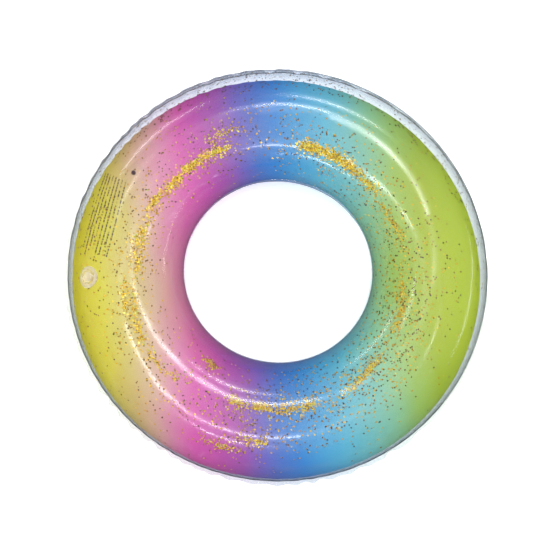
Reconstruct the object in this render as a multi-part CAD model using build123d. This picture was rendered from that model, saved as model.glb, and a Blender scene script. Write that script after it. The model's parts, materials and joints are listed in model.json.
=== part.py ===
from build123d import *
import math
import os

# A swim ring: two flat sheets of PVC film welded together round both edges and blown up
# into a tube, with a push-in valve and loose glitter flakes shut inside.
# Millimetres, +Z up, origin on the ground under the middle of the hole.

# Ring
ring_radius = 248.0          # middle of the hole to the middle of the tube
tube_radius = 94.0           # outside of the blown-up film
film_thickness = 0.4
outer_weld_width = 8.0       # flat margin outside the tube, both sheets together
inner_weld_width = 3.0       # flat margin in the hole
rest_face_width = 8.0        # band of the tube that flattens on the ground

# Where the valve is
valve_turn = 186.0           # degrees round the ring from +X
valve_lean = 36.0            # degrees from the tube's crest towards its outside

# Valve body: a flange welded under the film, with a short collar and the skirt that folds
collar_bore_radius = 12.5
film_setback = 1.0           # collar's bore to the edge of the film's hole
flange_width = 5.0           # from the bore out, welded to the film
flange_thickness = 1.0
skirt_wall = 1.2             # measured across, along the radius
collar_depth = 4.0           # film's outer face down to the collar's lower edge
skirt_depth = 11.0           # half of the stem's travel, because the skirt turns inside out

# Valve stem
stem_bore_radius = 3.5
stem_wall = 1.5
foot_thickness = 1.2
foot_lip = 0.2               # how far the foot stands out past the skirt's end

# Plug
head_radius = 8.0
head_thickness = 1.9
head_proud = 0.4             # how far the head stands out of the film
head_fillet = 0.6
dish_radius = 5.0
dish_depth = 0.5
shank_length = 7.0
shank_clearance = 0.05
shank_chamfer = 0.6
seat_gap = 0.1
tab_clearance = 1.3          # pull tab to collar
tab_width = 6.0
tab_thickness = 1.0

# Tether that keeps the plug on the stem
tether_width = 3.0
tether_thickness = 0.9
tether_bend = 1.3
tether_side_gap = 0.9        # tether to collar and skirt
tether_gap = 0.3             # left open between the tether and the plug it is moulded to

# Check flap that shuts the stem's inner end
flap_overlap = 1.2
flap_thickness = 0.6
flap_gap = 0.05

# Glitter
flake_radius = 1.4
flake_thickness = 0.1
flake_rest_gap = 0.3         # flake to film
flake_bands = {              # flakes, middle of the band in degrees out from the tube's lowest line, half width
    "glitter_gathered": (170, -12.0, 7.0),
    "glitter_scattered": (120, 32.0, 24.0),
    "glitter_at_rim": (60, 78.0, 6.0),
}
golden_turn = 180.0 * (3.0 - math.sqrt(5.0))

# Worked out from the sizes above
film_hole_radius = collar_bore_radius + film_setback
flange_radius = collar_bore_radius + flange_width
weld_height = math.sqrt(tube_radius ** 2 - (rest_face_width / 2) ** 2)
inner_tube_radius = tube_radius - film_thickness
stem_radius = stem_bore_radius + stem_wall
head_underside = head_proud - head_thickness
tab_reach = collar_bore_radius - tab_clearance - head_radius
stem_top = head_underside - seat_gap
foot_top = -collar_depth - skirt_depth
foot_underside = foot_top - foot_thickness
skirt_end_radius = stem_radius + skirt_wall / 2
flap_radius = stem_bore_radius + flap_overlap


def valve_frame():
    """The valve's own axes: origin on the film, Z straight out of it, X down the tube's outside."""
    turn = math.radians(valve_turn)
    lean = math.radians(valve_lean)
    out = Vector(math.cos(turn), math.sin(turn), 0)
    up = Vector(0, 0, 1)
    normal = out * math.sin(lean) + up * math.cos(lean)
    downhill = out * math.cos(lean) - up * math.sin(lean)
    origin = out * ring_radius + up * weld_height + normal * tube_radius
    return Plane(origin=origin, x_dir=downhill, z_dir=normal)


def turned(*points):
    """A round piece about the valve's axis, from the corners of half its section."""
    outline = make_face(Polyline(*points, close=True))
    return revolve(Plane.XZ * outline, Axis.Z)


def post(radius, bottom, top):
    """A round bar on the valve's axis."""
    return Pos(0, 0, bottom) * Cylinder(radius, top - bottom, align=(Align.CENTER, Align.CENTER, Align.MIN))


def sheet_margins(side):
    """Ends of the tube's inner and outer arcs and corners of the margins, on the weld plane's side."""
    step = side * film_thickness
    half = math.sqrt(tube_radius ** 2 - film_thickness ** 2)
    rim = ring_radius + tube_radius + outer_weld_width
    hole = ring_radius - tube_radius - inner_weld_width
    outer_end = (ring_radius + half, step)
    inner_end = (ring_radius - half, step)
    rim_corners = [(ring_radius + inner_tube_radius, 0), (rim, 0), (rim, step), outer_end]
    hole_corners = [inner_end, (hole, step), (hole, 0), (ring_radius - inner_tube_radius, 0)]
    return rim_corners, hole_corners


def revolved_sheet(edges):
    section = make_face(edges)
    return Pos(0, 0, weld_height) * revolve(Plane.XZ * section, Axis.Z)


def make_front_sheet():
    """Clear sheet: the tube's upper half with its margins, and the hole for the valve."""
    rim, hole = sheet_margins(1)
    outside = ThreePointArc(rim[-1], (ring_radius, tube_radius), hole[0])
    inside = ThreePointArc(hole[-1], (ring_radius, inner_tube_radius), rim[0])
    sheet = revolved_sheet([Polyline(*rim), outside, Polyline(*hole), inside])
    return sheet - valve_frame() * post(film_hole_radius, -flange_radius / 2, flange_radius / 2)


def lower_arc(radius, level, start, end):
    """Underside of the tube: two arcs that stop at the flat band it rests on."""
    half = math.sqrt(radius ** 2 - level ** 2)
    way = 1 if start[0] > end[0] else -1
    near = (ring_radius + way * half, -level)
    far = (ring_radius - way * half, -level)
    middle = radius * math.sqrt(0.5)
    first = ThreePointArc(start, (ring_radius + way * middle, -middle), near)
    second = ThreePointArc(far, (ring_radius - way * middle, -middle), end)
    return [first, Line(near, far), second]


def make_back_sheet():
    """Printed sheet: the tube's lower half with its margins and the flat band on the ground."""
    rim, hole = sheet_margins(-1)
    outside = lower_arc(tube_radius, weld_height, rim[-1], hole[0])
    inside = lower_arc(inner_tube_radius, weld_height - film_thickness, hole[-1], rim[0])
    return revolved_sheet([Polyline(*rim), *outside, Polyline(*hole), *inside])


def make_valve_flange():
    """Flange that follows the film's inner face, and the collar that the skirt hangs from."""
    frame = valve_frame()
    under_film = Pos(0, 0, weld_height) * Torus(ring_radius, inner_tube_radius)
    under_flange = Pos(0, 0, weld_height) * Torus(ring_radius, inner_tube_radius - flange_thickness)
    disc = frame * post(flange_radius, -flange_radius / 2, flange_thickness)
    collar = frame * post(collar_bore_radius + skirt_wall, -collar_depth, flange_thickness)
    bore = frame * post(collar_bore_radius, -flange_radius, flange_radius)
    return (disc & (under_film - under_flange)) + (collar & under_film) - bore


def make_valve_skirt():
    """Cone that folds: it hangs inwards with the stem pushed in, and turns out with it."""
    return turned(
        (collar_bore_radius, -collar_depth),
        (collar_bore_radius + skirt_wall, -collar_depth),
        (skirt_end_radius + skirt_wall, foot_top),
        (skirt_end_radius, foot_top),
    )


def make_valve_stem():
    """Tube that is blown into, on the foot that the skirt is moulded to."""
    foot_radius = skirt_end_radius + skirt_wall + foot_lip
    tube = post(stem_radius, foot_underside, stem_top)
    foot = post(foot_radius, foot_underside, foot_top)
    return tube + foot - post(stem_bore_radius, foot_underside, stem_top)


def make_valve_plug():
    """Head with a dished top and a pull tab, and the shank that plugs the stem."""
    head = fillet(post(head_radius, head_underside, head_proud).edges().group_by(Axis.Z)[-1], head_fillet)
    head -= post(dish_radius, head_proud - dish_depth, head_proud)
    tab = SlotOverall(2 * (head_radius + tab_reach), tab_width)
    tab = extrude(Pos(0, 0, head_underside) * tab, tab_thickness)
    tab &= Pos(head_radius, 0, 0) * Box(2 * head_radius, tab_width, 4 * head_thickness)
    shank_radius = stem_bore_radius - shank_clearance
    shank = post(shank_radius, head_underside - shank_length, head_underside)
    shank = chamfer(shank.edges().group_by(Axis.Z)[0], shank_chamfer)
    return head + tab + shank


def make_plug_tether():
    """Strap from under the head's edge out into the recess and back to the stem's side."""
    head_level = head_underside + tab_thickness / 2
    low = -collar_depth - skirt_depth / 4
    skirt_slope = (collar_bore_radius - skirt_end_radius) / skirt_depth
    inset = tether_thickness / 2 + tether_side_gap
    upper_reach = collar_bore_radius - inset
    lower_reach = upper_reach - skirt_slope * (-collar_depth - low)
    route = FilletPolyline(
        (-head_radius + 1, head_level),
        (-upper_reach, head_level),
        (-lower_reach, low),
        (-stem_bore_radius, (low + stem_top) / 2 - tether_thickness / 2),
        radius=tether_bend,
    )
    strap = extrude(Plane.XZ * trace(route, tether_thickness), tether_width / 2, both=True)
    clear_of_head = post(head_radius + tether_gap, head_underside - tether_gap, head_proud + 1)
    return strap - clear_of_head - post(stem_radius, foot_underside, stem_top)


def make_valve_flap():
    """Disc that shuts the stem's bore from inside the ring, hinged on its +X edge."""
    top = foot_underside - flap_gap
    disc = post(flap_radius, top - flap_thickness, top)
    hinge_strip = Box(flap_radius, tether_width, flap_thickness, align=(Align.MIN, Align.CENTER, Align.MAX))
    return disc + Pos(0, 0, top) * hinge_strip


def flake(turn, lean, spin):
    """One hexagonal flake flat on the film inside the tube; lean is degrees from the tube's lowest line."""
    away = math.radians(turn)
    tilt = math.radians(lean)
    out = Vector(math.cos(away), math.sin(away), 0)
    up = Vector(0, 0, 1)
    normal = up * math.cos(tilt) - out * math.sin(tilt)
    along = Vector(-math.sin(away), math.cos(away), 0)
    reach = inner_tube_radius - flake_rest_gap
    place = Plane(origin=out * ring_radius + up * weld_height - normal * reach, x_dir=along, z_dir=normal)
    return place * Rot(0, 0, spin) * extrude(RegularPolygon(flake_radius, 6), flake_thickness)


def scattered_flakes(count, middle, half_width):
    """Flakes all the way round the tube in one band, each a golden angle on from the last."""
    flakes = []
    for number in range(count):
        sway = math.sin(2.4 * number + middle) * math.cos(0.7 * number)
        flakes.append(flake(number * golden_turn, middle + half_width * sway, 47.0 * number))
    return Compound(children=flakes)


def on_valve(piece):
    return valve_frame() * piece


os.makedirs("parts", exist_ok=True)
pieces = {
    "front_sheet": make_front_sheet(),
    "back_sheet": make_back_sheet(),
    "valve_flange": make_valve_flange(),
    "valve_skirt": on_valve(make_valve_skirt()),
    "valve_stem": on_valve(make_valve_stem()),
    "valve_plug": on_valve(make_valve_plug()),
    "plug_tether": on_valve(make_plug_tether()),
    "valve_flap": on_valve(make_valve_flap()),
}
for name, band in flake_bands.items():
    pieces[name] = scattered_flakes(*band)
for name, piece in pieces.items():
    export_step(piece, f"parts/{name}.step")
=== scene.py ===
# %% [markdown]
# # A clear and rainbow swim ring, with glitter inside
# The ring is two sheets of PVC film welded together round both edges. The CAD frame gives where
# every piece sits and how the valve moves. Here the sheets get the puckers, print and gloss of real
# film, the valve gets its soft moulded look, and the glitter becomes thousands of loose flakes.

# %% Load the frame
import json
import math

import bmesh
import bpy
import numpy as np
from mathutils import Matrix, Vector


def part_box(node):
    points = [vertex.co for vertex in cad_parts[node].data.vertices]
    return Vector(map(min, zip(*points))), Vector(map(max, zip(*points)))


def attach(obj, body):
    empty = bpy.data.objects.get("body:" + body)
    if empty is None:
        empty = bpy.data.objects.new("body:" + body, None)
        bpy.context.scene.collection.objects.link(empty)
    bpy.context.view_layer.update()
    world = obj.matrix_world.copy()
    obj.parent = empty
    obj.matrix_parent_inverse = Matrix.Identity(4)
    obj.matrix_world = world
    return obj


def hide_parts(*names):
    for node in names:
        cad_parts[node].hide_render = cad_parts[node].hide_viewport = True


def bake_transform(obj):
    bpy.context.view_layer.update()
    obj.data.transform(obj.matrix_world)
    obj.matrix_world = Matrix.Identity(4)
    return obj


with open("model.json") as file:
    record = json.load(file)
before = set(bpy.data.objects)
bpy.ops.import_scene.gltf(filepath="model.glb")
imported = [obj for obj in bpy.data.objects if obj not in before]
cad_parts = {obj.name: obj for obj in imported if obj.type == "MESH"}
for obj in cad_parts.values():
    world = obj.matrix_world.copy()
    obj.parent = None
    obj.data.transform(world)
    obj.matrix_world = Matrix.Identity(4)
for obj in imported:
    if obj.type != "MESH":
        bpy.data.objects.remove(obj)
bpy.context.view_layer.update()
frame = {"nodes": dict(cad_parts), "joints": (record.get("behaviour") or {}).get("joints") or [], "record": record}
nodes = frame["nodes"]

# %% [markdown]
# ## Sizes
# Everything is placed from the frame's own boxes, so the looks follow the CAD. Only the widths of
# the weld margins and the thickness of the film are repeated here, because no box gives them.

# %% Sizes of the ring, in metres
MM = 0.001
film = 0.4 * MM
outer_margin = 8 * MM
inner_margin = 3 * MM

front_low, front_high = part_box("front_sheet")
weld_z = front_low.z
tube = front_high.z - weld_z
ring = front_high.x - outer_margin - tube
print(f"ring radius {ring:.4f}, tube radius {tube:.4f}, weld at {weld_z:.4f}")

# %% [markdown]
# The valve stands on its own leaning axis. The slide joint gives the axis, and the mount at the
# mouth of the stem gives a point on it, so the axes below are the same as in the CAD.

# %% The valve's own axes
joints = {joint["name"]: joint for joint in frame["joints"]}
mounts = {mount["name"]: mount for mount in frame["record"]["mounts"]}
stem_mouth = 1.6 * MM                       # the mouth's depth under the film
valve_out = Vector(joints["stem_pop_out"]["axis"]).normalized()
valve_at = Vector(mounts["pump_nozzle"]["pos_m"]) + valve_out * stem_mouth
valve_side = Vector((0, 0, 1)).cross(valve_out).normalized()
valve_down = valve_side.cross(valve_out)
valve_frame = Matrix((valve_down, valve_side, valve_out)).transposed().to_4x4()
valve_frame.translation = valve_at
print("valve at", [round(c, 4) for c in valve_at])

# %% [markdown]
# ## Small helpers
# Colours are written as sRGB hex, as a designer picks them, and turned to linear light once.

# %% Colour and node helpers
def linear(code):
    """An sRGB hex colour as linear RGBA."""
    parts = [int(code[i:i + 2], 16) / 255 for i in (1, 3, 5)]
    return tuple(c / 12.92 if c <= 0.04045 else ((c + 0.055) / 1.055) ** 2.4 for c in parts) + (1.0,)


def add(tree, kind, inputs=None, **settings):
    """Adds one shader node, with its settings, values and links."""
    node = tree.nodes.new(kind)
    for name, value in settings.items():
        setattr(node, name, value)
    for key, value in (inputs or {}).items():
        if isinstance(value, bpy.types.NodeSocket):
            tree.links.new(value, node.inputs[key])
        else:
            node.inputs[key].default_value = value
    return node


def new_material(name):
    """An empty material and its tree; the caller links a shader to the output."""
    material = bpy.data.materials.new(name)
    material.use_nodes = True
    material.node_tree.nodes.clear()
    return material, material.node_tree


def show(material, shader):
    """Links a shader to the material's output."""
    tree = material.node_tree
    add(tree, "ShaderNodeOutputMaterial", {"Surface": shader})
    print(f"{material.name}: {len(tree.nodes)} nodes")


def ramp(tree, factor, stops):
    """A colour ramp from a list of (position, hex) stops."""
    node = add(tree, "ShaderNodeValToRGB", {"Fac": factor})
    elements = node.color_ramp.elements
    while len(elements) < len(stops):
        elements.new(1.0)
    for element, (position, code) in zip(elements, stops):
        element.position = position
        element.color = linear(code)
    return node.outputs["Color"]


def maths(tree, operation, *values):
    """The result of one Math node."""
    return add(tree, "ShaderNodeMath", dict(enumerate(values)), operation=operation).outputs[0]


print("half of sRGB in linear light:", round(linear("#808080")[0], 3))

# %% [markdown]
# ## The two sheets
# The real sheets are flat rings of film. Blown up, the outer weld has far more length than the
# tube needs there, about a third too much, so it ruffles, and the ruffle dies away over the tube.
# The ring could be simulated from the flat cut, but the ruffle's pitch would then depend on the
# mesh. Here half of the tube's outline, with its weld margins, is turned round the axis by a
# Screw, and the ruffle is laid on it as a wave whose pitch, about 28 mm a scallop, is the real
# one. A torus primitive would do for the tube, but it stops at 256 columns, too few for the wave.

# %% Half a tube with its margins
turns = 700                                 # columns round the ring
rows = 108                                  # points round the whole tube


def select_points(obj, test):
    """In edit mode, selects the points that pass a test, and nothing else."""
    mesh = bmesh.from_edit_mesh(obj.data)
    for vertex in mesh.verts:
        vertex.select = test(vertex.co)
    mesh.select_mode = {"VERT"}
    mesh.select_flush_mode()
    bmesh.update_edit_mesh(obj.data)


def extrude_margin(obj, edge, width, steps):
    """Extrudes the end of the outline that lies at edge by width, in steps."""
    for step in range(steps):
        end = edge + width * step / steps
        select_points(obj, lambda co: abs(co.x - end) < film and abs(co.z - weld_z) < film)
        bpy.ops.mesh.extrude_region_move(TRANSFORM_OT_translate={"value": (width / steps, 0, 0)})


def turn_round(obj, columns, merge):
    """Turns the active object's outline round the Z axis, and joins the points that meet."""
    screw = obj.modifiers.new("turn the outline", "SCREW")
    screw.axis, screw.angle, screw.screw_offset = "Z", 2 * math.pi, 0
    screw.steps = screw.render_steps = columns
    screw.use_merge_vertices = True
    screw.merge_threshold = merge
    bpy.ops.object.modifier_apply(modifier=screw.name)


def half_tube(name, side):
    """The half of the tube above (1) or below (-1) the weld, with both margins, as an open sheet."""
    bpy.ops.object.select_all(action="DESELECT")
    bpy.ops.mesh.primitive_circle_add(
        vertices=rows, radius=tube, location=(ring, 0, weld_z), rotation=(math.radians(90), 0, 0))
    obj = bpy.context.object
    obj.name = name
    bpy.ops.object.transform_apply(location=True, rotation=True, scale=True)
    bpy.ops.object.mode_set(mode="EDIT")
    bpy.ops.mesh.select_mode(type="VERT")
    select_points(obj, lambda co: side * (co.z - weld_z) < -film)
    bpy.ops.mesh.delete(type="VERT")
    extrude_margin(obj, ring + tube, outer_margin, 3)
    extrude_margin(obj, ring - tube, -inner_margin, 2)
    bpy.ops.object.mode_set(mode="OBJECT")
    turn_round(obj, turns, 0.05 * MM)
    face_outwards(obj, side)
    print(name, len(obj.data.vertices), "points before the ruffle")
    return obj


def face_outwards(obj, side):
    """Turns the faces so that their normals point away from the air inside."""
    top = max(obj.data.polygons, key=lambda face: side * face.center.z)
    if side * top.normal.z < 0:
        obj.data.flip_normals()


front = half_tube("front_film", 1)
back = half_tube("back_film", -1)

# %% [markdown]
# Each point is known by two numbers: its turn round the ring, and its distance from the outer weld
# along the sheet, which is negative out on the margin. The ruffle is a wave in the first that fades
# with the second. It is weak on one side, where the margin lies flat against the tube.

# %% The ruffle of the outer weld
scallops = 38                               # full waves round the ring, so 76 scallops of 28 mm
fade = 20 * MM                              # how far the ruffle runs onto the tube
calm_turn, calm_width = math.radians(12), math.radians(75)     # where the margin lies flat
bumpy_turn, bumpy_width = math.radians(125), math.radians(34)  # where the weld itself is drawn in
calm_share = 0.88                           # how much of the ruffle the calm side loses
margin_swing, margin_droop = 72, 60         # degrees: with the wave, and where it is calm
weld_weave = 1.8                            # mm that the weld line weaves up and down
draw_in, more_draw_in = 0.25, 1.5           # mm that the weld is drawn in, and more where bumpy
pleat_depth, more_pleat = 0.35, 0.6         # mm of the small pleats beside the weld, likewise
wall_depth, wall_ease = 0.35 * MM, 30 * MM  # unevenness of the wall, and how it ends at a weld


def read_points(mesh):
    points = np.empty(len(mesh.vertices) * 3)
    mesh.vertices.foreach_get("co", points)
    return points.reshape(-1, 3)


def weld_distance(points, side):
    """Distance from the outer weld along the sheet, negative on the outer margin."""
    reach = np.hypot(points[:, 0], points[:, 1]) - ring
    height = side * (points[:, 2] - weld_z)
    angle = np.arctan2(np.maximum(height, 0), reach)
    along = tube * angle
    along = np.where(reach > tube, tube - reach, along)
    return np.where(reach < -tube, tube * math.pi - tube - reach, along)


def wave_phase(turn):
    """The ruffle's phase, with its pitch drifting round the ring as on real film."""
    drift = 1.3 * np.sin(3 * turn + 0.6) + 0.8 * np.sin(7 * turn + 2.1) + 0.5 * np.sin(13 * turn + 0.4)
    return scallops * turn + drift


def turn_apart(turn, middle):
    """The angle between a turn round the ring and a middle one, from -pi to pi."""
    return np.angle(np.exp(1j * (turn - middle)))


def wave_strength(turn):
    """The ruffle's strength, how calm the margin is and how far the weld is drawn in, each 0 to 1."""
    calm = np.exp(-(turn_apart(turn, calm_turn) / calm_width) ** 4)
    bumpy = np.exp(-(turn_apart(turn, bumpy_turn) / bumpy_width) ** 2)
    uneven = 0.80 + 0.14 * np.sin(5 * turn + 1.0) + 0.12 * np.sin(17 * turn + 0.3)
    return uneven * (1 - calm_share * calm), calm, bumpy


def wall_inset(turn, angle, along):
    """How far the blown-up wall lies inside a true tube: slow and shallow, and nothing at the welds."""
    slow = wall_depth * (np.sin(4 * turn + 3 * angle) + np.sin(9 * turn - 2 * angle + 1))
    near_outer = np.clip(along / wall_ease, 0, 1)
    near_inner = np.clip((tube * math.pi - along) / wall_ease, 0, 1)
    return np.abs(slow) * near_outer * near_inner


def ruffled(points, side):
    """The points moved by the ruffle. Both sheets move alike at the weld, which joins them."""
    turn = np.arctan2(points[:, 1], points[:, 0])
    reach = np.hypot(points[:, 0], points[:, 1]) - ring
    height = points[:, 2] - weld_z
    along = weld_distance(points, side)
    strength, calm, bumpy = wave_strength(turn)
    phase = wave_phase(turn)
    wave = np.sin(phase)

    # The margin tilts up and down with the wave, and hangs down where it is calm.
    out = np.clip(reach - tube, 0, None)
    tilt = np.radians(margin_swing * strength * wave - margin_droop * calm)
    margin = reach > tube
    bend = out * (1 - np.cos(tilt))
    rise = out * np.sin(tilt)

    # The weld line itself weaves, and the tube's wall follows it for a short way.
    follow = np.exp(-np.clip(along, 0, None) / fade)
    weave = weld_weave * MM * strength * wave
    drawn_in = (draw_in + more_draw_in * bumpy) * MM * strength
    pinch = drawn_in * (1 - np.cos(2 * phase + np.sin(4 * turn))) / 2
    pleated = (pleat_depth + more_pleat * bumpy) * MM * strength
    pleat = pleated * np.cos(2 * phase) * follow * (1 - follow) * 4
    new_reach = reach - bend * margin - pinch * follow
    new_height = height + rise * margin + weave * follow
    angle = np.arctan2(height, reach)
    on_tube = ~margin & (reach > -tube)
    new_reach = new_reach + pleat * np.cos(angle) * on_tube
    new_height = new_height + pleat * np.sin(angle) * on_tube

    inset = wall_inset(turn, angle, along)
    new_reach = new_reach - inset * np.cos(angle)
    new_height = new_height - inset * np.sin(angle)
    radius = ring + new_reach
    moved = np.stack([radius * np.cos(turn), radius * np.sin(turn), new_height + weld_z], axis=1)
    moved[:, 2] = np.maximum(moved[:, 2], 0.0)
    return moved


def lay_ruffle(obj, side):
    """Moves the sheet's points and keeps, for the materials, where each lay on the flat sheet."""
    mesh = obj.data
    points = read_points(mesh)
    along = weld_distance(points, side)
    turn = np.arctan2(points[:, 1], points[:, 0])
    from_weld = mesh.attributes.new("from_weld", "FLOAT", "POINT")
    from_weld.data.foreach_set("value", along.astype(np.float32))
    flat_radius = ring - tube + math.pi * tube - along
    flat = np.stack([flat_radius * np.cos(turn), flat_radius * np.sin(turn), 0 * turn], axis=1)
    on_flat = mesh.attributes.new("on_flat_sheet", "FLOAT_VECTOR", "POINT")
    on_flat.data.foreach_set("vector", flat.astype(np.float32).ravel())
    points[:, 2] += np.where(np.abs(points[:, 2] - weld_z) < film, side * film, 0)
    moved = ruffled(points, side)
    mesh.vertices.foreach_set("co", moved.ravel())
    mesh.update()
    furthest = np.linalg.norm(moved - points, axis=1).max()
    print(f"{obj.name} moved by up to {furthest:.4f} m")


lay_ruffle(front, 1)
lay_ruffle(back, -1)

# %% [markdown]
# The clear sheet has a round hole for the valve. A hole could be cut with a boolean, but the film
# is one face thick here, so the faces inside the circle are deleted and the ring of points left is
# drawn onto the circle, which keeps the sheet clean.

# %% The valve's hole in the clear sheet
film_hole = 13.5 * MM
refined = 2.2 * film_hole                   # faces nearer than this are split first
rim_reach = 1.4 * film_hole                 # the rim's points lie nearer than this


def select_only(obj):
    """Makes one object the selected and active one."""
    bpy.ops.object.select_all(action="DESELECT")
    bpy.context.view_layer.objects.active = obj
    obj.select_set(True)


def near_axis(place, reach):
    """Whether a place in the valve's axes is at the hole and within reach of its axis."""
    return place.xy.length < reach and abs(place.z) < film_hole


def cut_valve_hole(obj):
    into_valve = valve_frame.inverted()
    select_only(obj)
    bpy.ops.object.mode_set(mode="EDIT")
    mesh = bmesh.from_edit_mesh(obj.data)
    local = {vertex: into_valve @ vertex.co for vertex in mesh.verts}
    near = [face for face in mesh.faces if all(near_axis(local[v], refined) for v in face.verts)]
    edges = list({edge for face in near for edge in face.edges})
    bmesh.ops.subdivide_edges(mesh, edges=edges, cuts=2, use_grid_fill=True)
    local = {vertex: into_valve @ vertex.co for vertex in mesh.verts}
    inside = [v for v in mesh.verts if near_axis(local[v], film_hole)]
    bmesh.ops.delete(mesh, geom=inside, context="VERTS")
    rim = [v for v in mesh.verts if v.is_boundary and near_axis(into_valve @ v.co, rim_reach)]
    for vertex in rim:
        place = into_valve @ vertex.co
        place.xy = place.xy.normalized() * film_hole
        vertex.co = valve_frame @ place
    bmesh.update_edit_mesh(obj.data)
    bpy.ops.object.mode_set(mode="OBJECT")
    print("valve hole rim points:", len(rim))


cut_valve_hole(front)

# %% [markdown]
# Film has two faces 0.4 mm apart, and light is reflected by both. Solidify gives the open sheet
# that thickness inwards, so the outside stays on the CAD surface.

# %% Thickness and smooth shading
def finish_sheet(obj, node):
    select_only(obj)
    solid = obj.modifiers.new("film thickness", "SOLIDIFY")
    solid.thickness = film
    solid.offset = -1
    bpy.ops.object.modifier_apply(modifier=solid.name)
    bpy.ops.object.shade_smooth_by_angle(angle=math.radians(60))
    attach(obj, "ring")
    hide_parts(node)
    print(obj.name, len(obj.data.polygons), "faces")


finish_sheet(front, "front_sheet")
finish_sheet(back, "back_sheet")

# %% [markdown]
# Blown up, the half tube keeps the sheet's width, and the ruffle takes up the length that is too much
# at the outer weld.

# %% [markdown]
# ## Clear film
# Calendered PVC, without pigment. It lets nearly all light through and mirrors a few percent of
# it, more at a glancing angle. A refracting glass shader would be slow and noisy for so thin a
# wall, so it is Transparent mixed with Glossy, and the tint deepens at a glancing angle because
# the light then travels further inside the film. The weld shows as a thin grey line.

# %% Clear film material
pvc_ior = 1.53
glancing_mirror = 0.35                      # share mirrored edge on; an optically flat face has 1
ripple_mm, ripple_depth_mm = 45, 0.12       # unevenness left by the calender rolls
margin_tint, weld_tint = "#F3F4F5", "#A9ACB0"


def mirror_share(tree):
    """How much light a face of PVC mirrors: 4% straight on, and more at a glancing angle.

    The Fresnel node would treat the far face of the film as seen from inside a block of PVC, and
    mirror everything past 41 degrees, which a thin film never does, so Schlick's formula is used.
    Soft film isn't optically flat, so its glancing mirror is weaker than glass's.
    """
    look = add(tree, "ShaderNodeLayerWeight", {"Blend": 0.5})
    straight = ((pvc_ior - 1) / (pvc_ior + 1)) ** 2
    power = maths(tree, "POWER", look.outputs["Facing"], 5.0)
    return maths(tree, "MULTIPLY_ADD", power, glancing_mirror, straight)


def between(tree, value, low, high, soft):
    """1 where value lies between low and high, with soft edges."""
    up = add(tree, "ShaderNodeMapRange", {
        "Value": value, "From Min": low - soft, "From Max": low + soft},
        interpolation_type="SMOOTHSTEP")
    down = add(tree, "ShaderNodeMapRange", {
        "Value": value, "From Min": high - soft, "From Max": high + soft,
        "To Min": 1.0, "To Max": 0.0}, interpolation_type="SMOOTHSTEP")
    return maths(tree, "MULTIPLY", up.outputs[0], down.outputs[0])


def mix_colour(tree, share, first, second):
    return add(tree, "ShaderNodeMix", {0: share, 6: first, 7: second}, data_type="RGBA").outputs[2]


def mix_shaders(tree, share, first, second):
    """Two shaders as one, with a share of the second."""
    return add(tree, "ShaderNodeMixShader", {0: share, 1: first, 2: second}).outputs[0]


def clear_film(tree, tint_straight, tint_glancing, rough, normal):
    """The shader of clear PVC film, for a whole material or one side of a mix."""
    look = add(tree, "ShaderNodeLayerWeight", {"Blend": 0.5})
    edge = maths(tree, "POWER", look.outputs["Facing"], 1.5)
    tint = mix_colour(tree, edge, linear(tint_straight), linear(tint_glancing))
    along = add(tree, "ShaderNodeAttribute", attribute_name="from_weld").outputs["Fac"]
    margin = between(tree, along, -1.0, -1.5 * MM, 0.8 * MM)        # all that is outside the weld
    tint = mix_colour(tree, margin, tint, linear(margin_tint))
    weld = between(tree, along, -0.9 * MM, 0.5 * MM, 0.5 * MM)
    tint = mix_colour(tree, weld, tint, linear(weld_tint))
    through = add(tree, "ShaderNodeBsdfTransparent", {"Color": tint}).outputs[0]
    gloss = add(tree, "ShaderNodeBsdfGlossy", {"Roughness": rough, "Normal": normal}).outputs[0]
    return mix_shaders(tree, mirror_share(tree), through, gloss)


def film_ripple(tree):
    """The faint unevenness of calendered film, as a bump."""
    place = add(tree, "ShaderNodeTexCoord")
    noise = add(tree, "ShaderNodeTexNoise", {
        "Vector": place.outputs["Object"], "Scale": 1000 / ripple_mm, "Detail": 1.0})
    return add(tree, "ShaderNodeBump", {
        "Height": noise.outputs["Fac"], "Strength": 1.0,
        "Distance": ripple_depth_mm * MM}).outputs["Normal"]


def make_clear_film():
    material, tree = new_material("clear PVC film, calendered")
    show(material, clear_film(tree, "#FDFDFE", "#DEE2E7", 0.18, film_ripple(tree)))
    return material


def dress(obj, material):
    """Makes a material the object's only one."""
    obj.data.materials.clear()
    obj.data.materials.append(material)


dress(front, make_clear_film())

# %% [markdown]
# ## Printed film
# The back sheet is the same PVC, gravure-printed while flat with inks that run from yellow to
# lime across the ring, over a thin white ink. The ink stops short of the outer weld. Printed film
# glows, because light also comes through it from behind, so part of its colour is Translucent.
# The print reads each point's place on the flat sheet, kept as an attribute, so that it curves
# over the tube as the real one does, and the print's edge is a true circle on the flat sheet.

# %% Printed film material
rainbow = [                                 # millimetres across the flat sheet, from its middle
    (-410, "#E0DC10"), (-350, "#E2E044"), (-300, "#DCD07C"), (-262, "#DFC0A9"),
    (-222, "#E197BA"), (-180, "#DF68BB"), (-140, "#CE5CB8"), (-100, "#B460BA"),
    (-60, "#8471C8"), (-20, "#5784CF"), (20, "#4097D8"), (70, "#53B1DA"),
    (120, "#69C4D8"), (170, "#82CBC8"), (215, "#9CD0A4"), (260, "#AECE66"),
    (310, "#BACB2C"), (380, "#C8D638"),
]
rainbow_half = 450 * MM
rainbow_turn = math.radians(4)              # the print runs a little askew
print_radius = 421 * MM                     # 28 mm inside the outer weld
print_hole = ring - tube + 1 * MM           # the margin in the hole is left clear
print_middle = (-2.5 * MM, 2.5 * MM, 0)     # the print sits off the cut, towards -X and +Y
print_edge = 0.4 * MM                       # how soft the ink's edge is
clouds_per_metre = 7.0                      # patches where the colours wander from their bands
cloud_sway = 50 * MM                        # and how far they wander


def flat_place(tree):
    return add(tree, "ShaderNodeAttribute", attribute_name="on_flat_sheet").outputs["Vector"]


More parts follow.
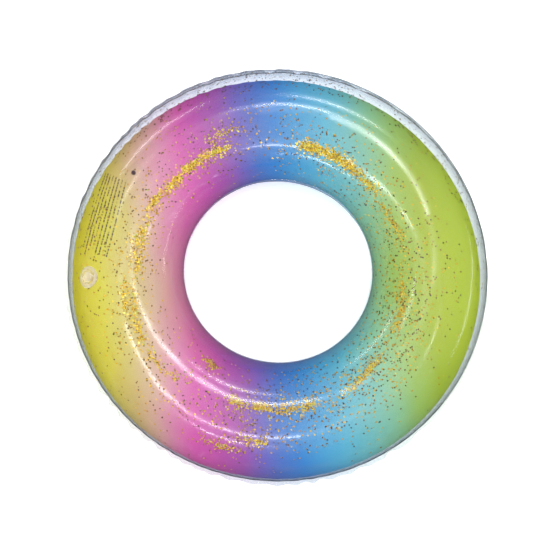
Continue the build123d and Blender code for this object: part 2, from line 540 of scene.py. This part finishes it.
def rainbow_colour(tree):
    turned = add(tree, "ShaderNodeMapping", {
        "Vector": flat_place(tree), "Rotation": (0, 0, rainbow_turn)}, vector_type="TEXTURE")
    across = add(tree, "ShaderNodeSeparateXYZ", {"Vector": turned.outputs[0]}).outputs["X"]
    cloud = add(tree, "ShaderNodeTexNoise", {
        "Vector": flat_place(tree), "Scale": clouds_per_metre, "Detail": 1.0})
    centred = maths(tree, "SUBTRACT", cloud.outputs["Fac"], 0.5)
    swayed = maths(tree, "MULTIPLY_ADD", centred, cloud_sway, across)
    share = maths(tree, "MULTIPLY_ADD", swayed, 0.5 / rainbow_half, 0.5)
    return ramp(tree, share, [(0.5 + mm * MM * 0.5 / rainbow_half, code) for mm, code in rainbow])


print(len(rainbow), "colours across", 2 * rainbow_half, "m")

# %% [markdown]
# Such a ring carries a printed notice beside the valve. Here it is only plain bars in rows that
# spell nothing, with a plain dot beside them. On the flat sheet the rows are straight.

# %% Plain bars and a dot
label_corner = (-361 * MM, 215 * MM, 0)     # the start of the row nearest the outer weld
label_turn = math.radians(-103)             # the way the rows run
label_length, label_rows, label_pitch = 178 * MM, 8, 7.3 * MM
label_cell = 6 * MM                         # about a bar's length
label_ragged = 30 * MM                      # how unequal the rows' ends are
bar_low, bar_high, bar_soft = 0.25, 0.60, 0.08      # where a bar lies in its row, as shares of it
row_shift = 7.3                             # cells, so that no two rows break alike
dot_place, dot_radius = (-293 * MM, 221 * MM, 0), 4.6 * MM
label_ink, dot_ink = "#4A4020", "#4A2A2C"


def multiply(tree, *factors):
    product = factors[0]
    for factor in factors[1:]:
        product = maths(tree, "MULTIPLY", product, factor)
    return product


def label_mask(tree):
    """Nearly 1 on the bars, whose rows and places in a row come from the flat sheet."""
    moved = add(tree, "ShaderNodeMapping", {
        "Vector": flat_place(tree), "Location": label_corner, "Rotation": (0, 0, label_turn)},
        vector_type="TEXTURE")
    axes = add(tree, "ShaderNodeSeparateXYZ", {"Vector": moved.outputs[0]})
    row = maths(tree, "MULTIPLY", axes.outputs["Y"], 1 / label_pitch)
    part = maths(tree, "FRACT", row)
    number = maths(tree, "FLOOR", row)
    spot = add(tree, "ShaderNodeCombineXYZ", {
        "X": maths(tree, "MULTIPLY", axes.outputs["X"], 1 / label_cell),
        "Y": maths(tree, "MULTIPLY", number, row_shift)})
    gaps = add(tree, "ShaderNodeTexVoronoi", {
        "Vector": spot.outputs[0], "Scale": 1.0, "Randomness": 0.8},
        feature="DISTANCE_TO_EDGE", voronoi_dimensions="2D").outputs["Distance"]
    bars = add(tree, "ShaderNodeMapRange", {
        "Value": gaps, "From Min": 0.05, "From Max": 0.16, "To Max": 0.95}).outputs[0]
    chance = add(tree, "ShaderNodeTexWhiteNoise", {"W": number}, noise_dimensions="1D")
    end = maths(tree, "MULTIPLY_ADD", chance.outputs["Value"], -label_ragged, label_length)
    return multiply(tree, between(tree, part, bar_low, bar_high, bar_soft), bars,
                    maths(tree, "LESS_THAN", axes.outputs["X"], end),
                    maths(tree, "GREATER_THAN", axes.outputs["X"], 0.0),
                    between(tree, row, 0, label_rows, 0.01))


def disc_mask(tree, middle, radius, soft):
    """1 inside a circle on the flat sheet."""
    reach = add(tree, "ShaderNodeVectorMath", {
        0: flat_place(tree), 1: middle}, operation="DISTANCE")
    return add(tree, "ShaderNodeMapRange", {
        "Value": reach.outputs["Value"], "From Min": radius - soft, "From Max": radius + soft,
        "To Min": 1.0, "To Max": 0.0}).outputs[0]


print(f"notice {label_length:.3f} m long and {label_rows * label_pitch:.3f} m deep")

# %% [markdown]
# The printed sheet is a mix. Principled gives the ink's colour, with a coat for the film that it
# lies on, Translucent gives the light from behind, and past the print's edge comes bare clear film.
# The edge could be a second piece with its own material, but a circle is exact as maths.

# %% Put the print together
ink_glow = 0.33                             # share of the ink's light that comes from behind


def make_printed_film():
    material, tree = new_material("printed PVC film, gravure inks")
    colour = mix_colour(tree, label_mask(tree), rainbow_colour(tree), linear(label_ink))
    dot = disc_mask(tree, dot_place, dot_radius, 0.5 * MM)
    colour = mix_colour(tree, dot, colour, linear(dot_ink))
    ripple = film_ripple(tree)
    body = add(tree, "ShaderNodeBsdfPrincipled", {
        "Base Color": colour, "Roughness": 0.22, "IOR": pvc_ior, "Coat Weight": 1.0,
        "Coat IOR": 1.6, "Coat Roughness": 0.12, "Normal": ripple, "Coat Normal": ripple})
    glow = add(tree, "ShaderNodeBsdfTranslucent", {"Color": colour})
    ink = mix_shaders(tree, ink_glow, body.outputs[0], glow.outputs[0])
    bare = clear_film(tree, "#F2F4F6", "#BEC4CB", 0.16, ripple)
    past_hole = maths(tree, "SUBTRACT", 1.0, disc_mask(tree, (0, 0, 0), print_hole, print_edge))
    inked = multiply(tree, disc_mask(tree, print_middle, print_radius, print_edge), past_hole)
    show(material, mix_shaders(tree, inked, bare, ink))
    return material


dress(back, make_printed_film())

# %% [markdown]
# ## Glitter
# Punched hexagons of metallised polyester, about 3 mm across. One flake is modelled, and the rest
# are copies of its mesh, because thousands of separate objects would be slow. Shaken and laid
# down, the flakes slide to the tube's lowest line and clump there; static holds others higher up.

# %% One flake, copied
flake_radius = 1.5 * MM
flake_depth = 0.06 * MM
flake_gap = 0.9 * MM                        # flakes lie on each other, so some stand off the film
smallest, spread = 0.75, 0.35               # sizes run from 0.75 to 1.1 of the radius


def one_flake():
    bpy.ops.object.select_all(action="DESELECT")
    bpy.ops.mesh.primitive_cylinder_add(vertices=6, radius=flake_radius, depth=flake_depth)
    obj = bpy.context.object
    points = read_points(obj.data)
    faces = [tuple(face.vertices) for face in obj.data.polygons]
    bpy.data.objects.remove(obj)
    return points, faces


flake_points, flake_faces = one_flake()
print("one flake:", len(flake_points), "points,", len(flake_faces), "faces")


def place_flakes(turn, lean, lift, tilt, spin, chance):
    """The points of many flakes on the wall, by turn round the ring and lean from its lowest line."""
    count = len(turn)
    out = np.stack([np.cos(turn), np.sin(turn), np.zeros(count)], axis=1)
    up = np.array([0.0, 0.0, 1.0])
    normal = up * np.cos(lean)[:, None] - out * np.sin(lean)[:, None]
    along = np.stack([-np.sin(turn), np.cos(turn), np.zeros(count)], axis=1)
    across = np.cross(normal, along)
    inset = wall_inset(turn, lean - math.pi / 2, tube * (math.pi / 2 - lean))
    corner = (smallest + spread) * flake_radius
    lift = lift + corner * np.sin(tilt)                  # a tilted flake rests on its low corner
    centre = out * ring + up * weld_z - normal * (tube - film - inset - lift)[:, None]
    a = along * np.cos(spin)[:, None] + across * np.sin(spin)[:, None]
    b = np.cross(normal, a)
    n = normal * np.cos(tilt)[:, None] + b * np.sin(tilt)[:, None]
    b = np.cross(n, a)
    size = (smallest + spread * chance)[:, None, None]
    local = flake_points[None] * size
    return (centre[:, None] + local[..., :1] * a[:, None] + local[..., 1:2] * b[:, None]
            + local[..., 2:] * n[:, None])


def new_object(name, data):
    """A new object in the scene."""
    obj = bpy.data.objects.new(name, data)
    bpy.context.scene.collection.objects.link(obj)
    return obj


def flake_piece(name, node, turn, lean, lift, unruly, hue_and_shade_range):
    """One object of many flakes, tilted at random and with a random number each for the material."""
    count = len(turn)
    tilt = np.abs(rng.normal(0, unruly, count))
    spin = rng.uniform(0, math.pi, count)
    chance = rng.random(count)
    points = place_flakes(turn, lean, lift, tilt, spin, chance).reshape(-1, 3)
    step = len(flake_points)
    faces = [tuple(step * k + i for i in face) for k in range(count) for face in flake_faces]
    mesh = bpy.data.meshes.new(name)
    mesh.from_pydata(points.tolist(), [], faces)
    mesh.update()
    # each flake's number picks its lacquer hue and, at the low end, its painted shade
    tint = mesh.attributes.new("flake_hue_and_shade", "FLOAT", "POINT")
    tint.data.foreach_set("value", np.repeat(rng.uniform(*hue_and_shade_range, count), step).astype(np.float32))
    obj = new_object(name, mesh)
    dress(obj, flake_material)
    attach(obj, "ring")
    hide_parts(node)
    print(name, count, "flakes,", len(faces), "faces")


# %% [markdown]
# The foil mirrors like gold leaf, and each flake catches the light at its own angle. Real flakes
# have a lacquer that shifts some of them to green, so each flake takes its hue from its own number.
# The dark browns at the low end of the ramp are painted shade, for flakes that look dark as if unlit.

# %% Gold flake material
def make_flakes():
    material, tree = new_material("metallised polyester flake, gold lacquer and painted shade")
    chance = add(tree, "ShaderNodeAttribute", attribute_name="flake_hue_and_shade").outputs["Fac"]
    # the dark browns are painted shade for flakes that catch no light; the golds and the green are the lacquer's
    colour = ramp(tree, chance, [
        (0.00, "#4A3408"), (0.25, "#8A6408"), (0.45, "#D8A408"), (0.70, "#F8D010"),
        (0.90, "#FBE860"), (1.00, "#B8D040")])
    foil = add(tree, "ShaderNodeBsdfPrincipled", {
        "Base Color": colour, "Metallic": 0.6, "Roughness": 0.3})
    show(material, foil.outputs[0])
    return material


flake_material = make_flakes()

# %% [markdown]
# The clumps lie where the flakes slid together. Each is given as a turn round the ring, how far it
# runs, how far off the middle line it sits, and its share of the flakes. The loose ones and the few
# at the rim are thinly spread. All flakes could be dropped in a rigid body simulation, but nine
# thousand would be slow, and they would never cling to the wall as static makes them.

# %% Where the flakes lie
rng = np.random.default_rng(7)
clumped, loose, at_rim = 4400, 3400, 1000   # flakes
clumps = [                                  # turn, half length and lean in degrees, share
    (76, 5, 0, 9), (67, 6, -1, 9), (58, 6, -3, 6), (48, 6, -7, 2.5), (28, 14, -13, 3),
    (115, 6, 4, 5), (126, 6, 3, 6), (136, 5, 0, 5), (146, 5, 3, 3), (158, 8, -4, 2.5),
    (172, 8, -7, 3), (-173, 7, 8, 2), (-160, 8, -1, 3.5), (-146, 6, -2, 1.5), (-137, 5, -6, 1),
    (-127, 5, -46, 2), (-108, 5, -20, 2.5), (-97, 5, -20, 4), (-86, 6, -19, 3.5), (-76, 5, -19, 3),
    (-98, 5, 16, 3), (-108, 7, 30, 2.5), (-53, 6, -18, 2.5), (-43, 6, -20, 3), (-18, 8, -20, 2.5),
    (-4, 10, -22, 2), (110, 6, 20, 2), (165, 9, 2, 3), (-170, 12, -2, 2.5),
]


def clump_flakes(total):
    share = np.array([clump[3] for clump in clumps], float)
    which = rng.choice(len(clumps), total, p=share / share.sum())
    table = np.array(clumps, float)[which]
    turn = np.radians(table[:, 0] + rng.normal(0, 0.55, total) * table[:, 1])
    lean = np.radians(table[:, 2] + rng.normal(0, 2.2, total) * rng.choice([1, 1, 2.2], total))
    return turn, lean


def lay_glitter():
    turn, lean = clump_flakes(clumped)
    lift = rng.uniform(0.15, 1.0, clumped) * flake_gap
    flake_piece("glitter_clumped", "glitter_gathered", turn, lean, lift, 0.3, (0.3, 1.0))

    turn = rng.uniform(-math.pi, math.pi, loose)
    turn = turn + 0.35 * np.sin(turn - 2.6)              # more of them to one side
    lean = rng.normal(0, 26, loose) - 16 * np.cos(turn + 0.5)
    lean = np.radians(lean.clip(-66, 62))
    lift = rng.uniform(0.15, 0.5, loose) * flake_gap
    # loose flakes reach down to the dark end, so some of them carry painted shade
    flake_piece("glitter_loose", "glitter_scattered", turn, lean, lift, 0.3, (0.0, 0.8))

    turn = np.radians(rng.normal(90, 60, at_rim))
    lean = np.radians(rng.uniform(66, 112, at_rim))
    lift = rng.uniform(2.2, 3.2, at_rim) * MM            # clear of the pleats
    # rim flakes take only the dark end: painted shade, for dark specks
    flake_piece("glitter_rim", "glitter_at_rim", turn, lean, lift, 0.2, (0.0, 0.3))


lay_glitter()

# %% [markdown]
# ## The valve
# One soft moulding of nearly clear PVC. The flange, stem, plug and flap have the right shape in
# CAD, so they stay and take a better material: milky and glowing where light comes through it,
# mixed with clear, and a weak mirror over both. Subsurface alone would leave it opaque.

# %% Valve material
valve_cloud_mm = 7                          # size of the flow marks in the moulding
valve_glow, valve_clear = 0.35, 0.66        # shares lit from behind, and seen straight through


def make_valve_pvc():
    material, tree = new_material("soft PVC, injection moulded, translucent")
    place = add(tree, "ShaderNodeTexCoord")
    cloud = add(tree, "ShaderNodeTexNoise", {
        "Vector": place.outputs["Object"], "Scale": 1000 / valve_cloud_mm, "Detail": 3.0})
    colour = ramp(tree, cloud.outputs["Fac"], [(0.3, "#E6DFC8"), (0.7, "#F2EEDF")])
    body = add(tree, "ShaderNodeBsdfPrincipled", {
        "Base Color": colour, "Roughness": 0.3, "IOR": pvc_ior, "Subsurface Weight": 0.3,
        "Subsurface Radius": (0.004, 0.004, 0.003), "Subsurface Scale": 1.0})
    glow = add(tree, "ShaderNodeBsdfTranslucent", {"Color": colour})
    through = add(tree, "ShaderNodeBsdfTransparent", {"Color": linear("#FBF8EE")})
    milky = mix_shaders(tree, valve_glow, body.outputs[0], glow.outputs[0])
    soft = mix_shaders(tree, valve_clear, milky, through.outputs[0])
    gloss = add(tree, "ShaderNodeBsdfGlossy", {"Roughness": 0.16})
    show(material, mix_shaders(tree, mirror_share(tree), soft, gloss.outputs[0]))
    return material


valve_material = make_valve_pvc()
for name in ("valve_flange", "valve_stem", "valve_plug", "valve_flap"):
    dress(nodes[name], valve_material)

# %% [markdown]
# The skirt folds as the stem comes out, and the tether straightens as the plug is pulled, so both
# are modelled again as pieces of their own. The skirt is half of its section turned round the
# valve's axis, in rows close enough together to bend.

# %% The skirt
def seat_on_valve(obj, node):
    """Puts a piece made in the valve's own axes in place, instead of a CAD piece."""
    obj.data.transform(valve_frame)
    dress(obj, valve_material)
    select_only(obj)
    bpy.ops.object.mode_set(mode="EDIT")
    bpy.ops.mesh.select_all(action="SELECT")
    bpy.ops.mesh.normals_make_consistent(inside=False)
    bpy.ops.object.mode_set(mode="OBJECT")
    bpy.ops.object.shade_smooth_by_angle(angle=math.radians(40))
    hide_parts(node)
    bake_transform(obj)
    print(obj.name, len(obj.data.polygons), "faces")


def make_skirt():
    top, bottom, wall = -4.0 * MM, -15.0 * MM, 1.2 * MM
    wide, narrowing, slump = 12.5, 6.9, 0.35            # mm: the collar's bore, to the stem's foot
    rows_down, columns = 12, 64
    shares = [row / rows_down for row in range(rows_down + 1)]
    inside = [((wide - narrowing * share - slump * math.sin(2 * math.pi * share)) * MM,
               top + (bottom - top) * share) for share in shares]
    outline = inside + [(radius + wall, height) for radius, height in reversed(inside)]
    mesh = bpy.data.meshes.new("skirt")
    mesh.from_pydata([(radius, 0, height) for radius, height in outline],
                     [(k, (k + 1) % len(outline)) for k in range(len(outline))], [])
    obj = new_object("soft_skirt", mesh)
    bpy.context.view_layer.objects.active = obj
    turn_round(obj, columns, 0.01 * MM)
    seat_on_valve(obj, "valve_skirt")


make_skirt()

# %% [markdown]
# The tether is a flat strap. Its line is a smooth curve through the recess, widened and thickened,
# with its long edges rounded as a mould leaves them.

# %% The tether
def make_tether():
    width, thickness, rounding = 3 * MM, 0.9 * MM, 0.2 * MM
    route = [(-8.3, -1.0), (-11.15, -1.0), (-9.43, -6.75), (-5.0, -5.16)]   # across and out, in mm
    curve = bpy.data.curves.new("tether", "CURVE")
    curve.dimensions = "3D"
    spline = curve.splines.new("NURBS")
    spline.points.add(len(route) - 1)
    for point, (across, out) in zip(spline.points, route):
        point.co = (across * MM, -width / 2, out * MM, 1)
    spline.order_u, spline.use_endpoint_u, spline.resolution_u = 3, True, 10
    select_only(new_object("soft_tether", curve))
    bpy.ops.object.convert(target="MESH")
    obj = bpy.context.object
    bpy.ops.object.mode_set(mode="EDIT")
    bpy.ops.mesh.select_all(action="SELECT")
    bpy.ops.mesh.extrude_region_move(TRANSFORM_OT_translate={"value": (0, width, 0)})
    bpy.ops.object.mode_set(mode="OBJECT")
    solid = obj.modifiers.new("strap thickness", "SOLIDIFY")
    solid.thickness, solid.offset = thickness, 0
    bpy.ops.object.modifier_apply(modifier=solid.name)
    soft = obj.modifiers.new("rounded edges", "BEVEL")
    soft.width, soft.segments, soft.limit_method = rounding, 2, "ANGLE"
    bpy.ops.object.modifier_apply(modifier=soft.name)
    seat_on_valve(obj, "plug_tether")


make_tether()

# %% [markdown]
# ## Floor, light and camera
# A plain white floor, lit a little from below, as clear goods are often shot, so that the ring
# throws hardly any shadow and its print glows. A floor that only reflects would be simpler, but
# the ring would then throw a grey shadow on it. The gloss doesn't mirror the floor.

# %% Floor
floor_size, floor_glow = 12, 0.4
floor_drop = 0.5 * MM                       # under the ground, so that nothing lies in its plane


def make_floor():
    material, tree = new_material("opal acrylic light table")
    paper = add(tree, "ShaderNodeBsdfPrincipled", {
        "Base Color": linear("#FAFAFA"), "Roughness": 0.9,
        "Emission Color": linear("#FFFFFF"), "Emission Strength": floor_glow})
    show(material, paper.outputs[0])
    bpy.ops.object.select_all(action="DESELECT")
    bpy.ops.mesh.primitive_plane_add(size=floor_size, location=(0, 0, -floor_drop))
    floor = bpy.context.object
    floor.name = "studio_floor"
    dress(floor, material)
    floor.visible_glossy = False


make_floor()

# %% [markdown]
# Big soft lights give the brightness, and narrow boxes draw the bright lines on the tube. One big
# light could do both, but its mirror image would veil the clear film. So the gloss doesn't mirror
# the big ones, and the boxes give only their reflections. A box's distance matters too, because
# a near one is mirrored in a different place on each part of the tube.

# %% Lights
def softbox(name, turn, height, distance, width, length, power):
    """An oval area light aimed at the ring: turn and height in degrees, sizes in metres, watts."""
    a, e = math.radians(turn), math.radians(height)
    way = Vector((math.cos(a) * math.cos(e), math.sin(a) * math.cos(e), math.sin(e)))
    lamp = bpy.data.lights.new(name, "AREA")
    lamp.shape = "ELLIPSE"
    lamp.size, lamp.size_y = width, length
    lamp.energy = power
    obj = new_object(name, lamp)
    obj.rotation_euler = way.to_track_quat("Z", "Y").to_euler()
    obj.location = way * distance
    return obj


def light_scene():
    world = bpy.data.worlds.new("soft studio")
    bpy.context.scene.world = world
    world.use_nodes = True
    tree = world.node_tree
    tree.nodes.clear()
    way = add(tree, "ShaderNodeTexCoord")
    height = add(tree, "ShaderNodeSeparateXYZ", {"Vector": way.outputs["Generated"]})
    sky = ramp(tree, height.outputs["Z"], [(0.0, "#9C9C9C"), (0.35, "#BCBCBC"), (1.0, "#D8D8D8")])
    light = add(tree, "ShaderNodeBackground", {"Color": sky, "Strength": 1.0})
    add(tree, "ShaderNodeOutputWorld", {"Surface": light.outputs[0]})
    fills = [softbox("overhead_fill", 90, 88, 2.8, 3.8, 3.8, 103)]
    for turn in (45, 135, 225, 315):
        fills.append(softbox(f"side_fill_{turn}", turn, 22, 2.8, 2.4, 1.6, 26))
    for fill in fills:
        fill.visible_glossy = False
    for name, turn, height, distance, width, length, power in (
            ("softbox_main", 66, 69, 2.4, 0.14, 0.42, 3.2),
            ("softbox_far_low", 74, 46, 8, 2.1, 0.30, 40),
            ("softbox_far_high", 82, 65, 8, 1.1, 0.34, 26),
            ("softbox_left", 135, 57, 2.4, 0.45, 0.09, 1.2),
            ("softbox_low_left", 124, 30, 2.4, 1.2, 0.10, 3),
            ("softbox_low_right", 2, 9, 2.4, 1.8, 0.10, 3)):
        box = softbox(name, turn, height, distance, width, length, power)
        box.visible_diffuse = False


light_scene()
print(len(bpy.data.lights), "lights")

# %% [markdown]
# A long lens at a distance keeps the ring nearly a true circle. A Track To constraint could aim the
# camera, but its three axes, written out, also fix its roll.

# %% Camera
focal_mm = 85.8
sensor_mm = 36.0
camera_distance = 2.1465
camera_way = (-0.0309, -0.2216, 0.9746)     # from the ring to the camera
aim_left, aim_low = 4.7 * MM, 9.5 * MM      # from the ring's middle to the middle of the view


def aim_camera():
    """Nearly straight above the ring, leaning a little towards -Y."""
    toward = Vector(camera_way).normalized()
    right = Vector((0, 1, 0)).cross(toward).normalized()
    up = toward.cross(right)
    centre = Vector((0, 0, weld_z)) - right * aim_left - up * aim_low
    camera = bpy.data.cameras.new("camera")
    camera.lens = focal_mm
    camera.sensor_width = sensor_mm
    obj = new_object("camera", camera)
    turned = Matrix((right, up, toward)).transposed().to_4x4()
    turned.translation = centre + toward * camera_distance
    obj.matrix_world = turned
    bpy.context.scene.camera = obj
    print("camera at", [round(c, 3) for c in turned.translation])


aim_camera()
bpy.context.scene.view_settings.view_transform = "Standard"
bpy.context.scene.cycles.transparent_max_bounces = 32      # walls of film behind each other
